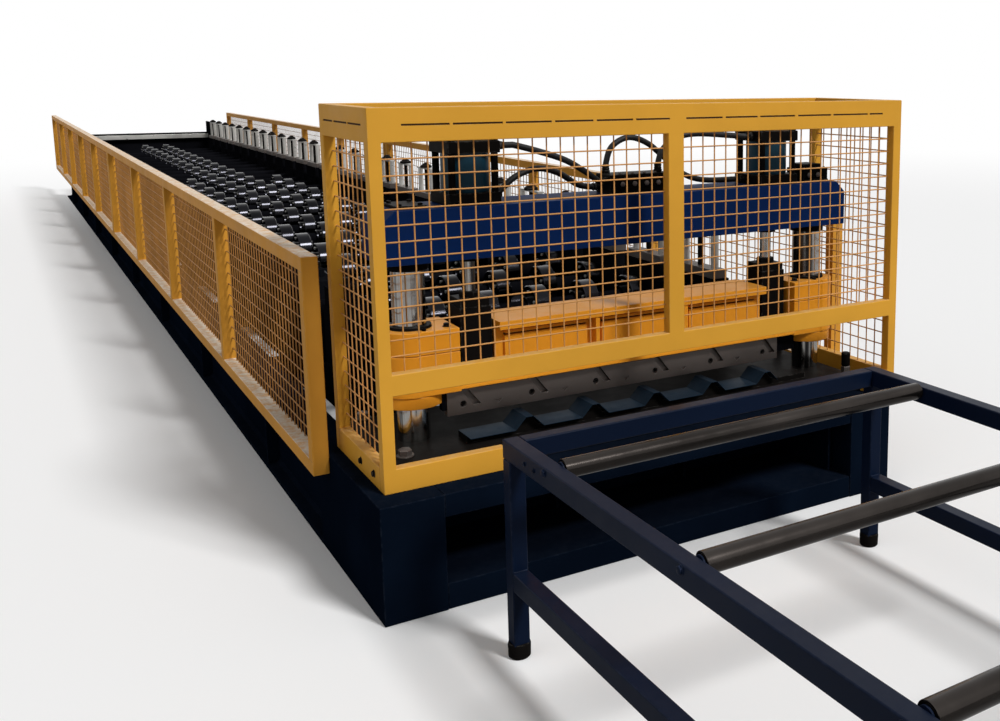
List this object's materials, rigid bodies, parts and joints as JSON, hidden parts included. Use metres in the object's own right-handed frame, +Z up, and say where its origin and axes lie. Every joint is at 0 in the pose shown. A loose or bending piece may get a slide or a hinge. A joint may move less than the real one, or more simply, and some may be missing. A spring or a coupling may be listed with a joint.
{
  "type": "roll forming machine",
  "caption": "Roll forming line for trapezoidal roof sheet, with forming stations on a long base, guard fences, a hydraulic cut-off press in a mesh cage and a run-out table with idler rollers.",
  "frame": {"origin": "floor level, below the middle of the whole line's box", "axes": "+Z up, +Y along the line towards the strip's entry, so that the sheet travels along -Y to the run-out table; +X to the right as seen from the run-out table"},
  "size_m": [2.3, 18.29, 1.55],
  "materials": {
    "yellow_paint": "satin yellow-orange paint on welded tube and plate",
    "blue_paint": "satin dark blue paint",
    "navy_paint": "satin navy paint on square tube",
    "base_paint": "near-black navy paint",
    "blackened_steel": "black oxide steel",
    "roll_steel": "dark turned steel with bright edges",
    "chrome": "ground hard chrome",
    "blade_steel": "ground tool steel",
    "pipe_steel": "bare steel pipe",
    "sheet_coating": "coil-coated blue-grey sheet",
    "cylinder_paint": "dark teal paint",
    "hose_rubber": "matt black hose cover"
  },
  "bodies": {
    "machine": {"base_frame": "base_paint", "cage_front_panel": "yellow_paint", "cage_rear_rail": "yellow_paint", "cage_side_left": "yellow_paint", "cage_side_right": "yellow_paint", "cage_stub_left": "yellow_paint", "cage_stub_right": "yellow_paint", "cylinder_left": "cylinder_paint", "cylinder_right": "cylinder_paint", "fence_left_far": "yellow_paint", "fence_left_near": "yellow_paint", "fence_right_far": "yellow_paint", "fence_right_near": "yellow_paint", "formed_sheet": "sheet_coating", "forming_section_1": "roll_steel", "forming_section_2": "roll_steel", "forming_section_3": "roll_steel", "forming_section_4": "roll_steel", "forming_section_5": "roll_steel", "forming_section_6": "roll_steel", "forming_section_7": "roll_steel", "guide_post_left": "chrome", "guide_post_right": "chrome", "hose_left_lower": "hose_rubber", "hose_left_upper": "hose_rubber", "hose_right_lower": "hose_rubber", "hose_right_upper": "hose_rubber", "infeed_bar": "blade_steel", "infeed_guide": "blackened_steel", "lower_die": "blackened_steel", "manifold": "blackened_steel", "press_stand": "base_paint", "press_table": "blackened_steel", "table_beam_end": "navy_paint", "table_beam_start": "navy_paint", "table_side_left": "navy_paint", "table_side_right": "navy_paint", "top_beam": "blue_paint", "valve_block": "blackened_steel"},
    "cutter_head": {"blade_carriage": "yellow_paint", "blade_bar": "blade_steel", "piston_rod_left": "blackened_steel", "piston_rod_right": "blackened_steel"},
    "table_roller_1": {"table_roller_1": "pipe_steel"},
    "table_roller_2": {"table_roller_2": "pipe_steel"},
    "table_roller_3": {"table_roller_3": "pipe_steel"},
    "table_roller_4": {"table_roller_4": "pipe_steel"},
    "table_roller_5": {"table_roller_5": "pipe_steel"}
  },
  "joints": [
    {"name": "cutter_slide", "type": "slide", "parent": "machine", "child": "cutter_head", "axis": [0, 0, 1], "range_m": [-0.058, 0]},
    {"name": "table_roller_1_spin", "type": "hinge", "parent": "machine", "child": "table_roller_1", "pos_m": [-0.157, -6.215, 0.63], "axis": [1, 0, 0], "continuous": true},
    {"name": "table_roller_2_spin", "type": "hinge", "parent": "machine", "child": "table_roller_2", "pos_m": [-0.157, -6.88, 0.63], "axis": [1, 0, 0], "continuous": true},
    {"name": "table_roller_3_spin", "type": "hinge", "parent": "machine", "child": "table_roller_3", "pos_m": [-0.157, -7.545, 0.63], "axis": [1, 0, 0], "continuous": true},
    {"name": "table_roller_4_spin", "type": "hinge", "parent": "machine", "child": "table_roller_4", "pos_m": [-0.157, -8.21, 0.63], "axis": [1, 0, 0], "continuous": true},
    {"name": "table_roller_5_spin", "type": "hinge", "parent": "machine", "child": "table_roller_5", "pos_m": [-0.157, -8.875, 0.63], "axis": [1, 0, 0], "continuous": true}
  ]
}
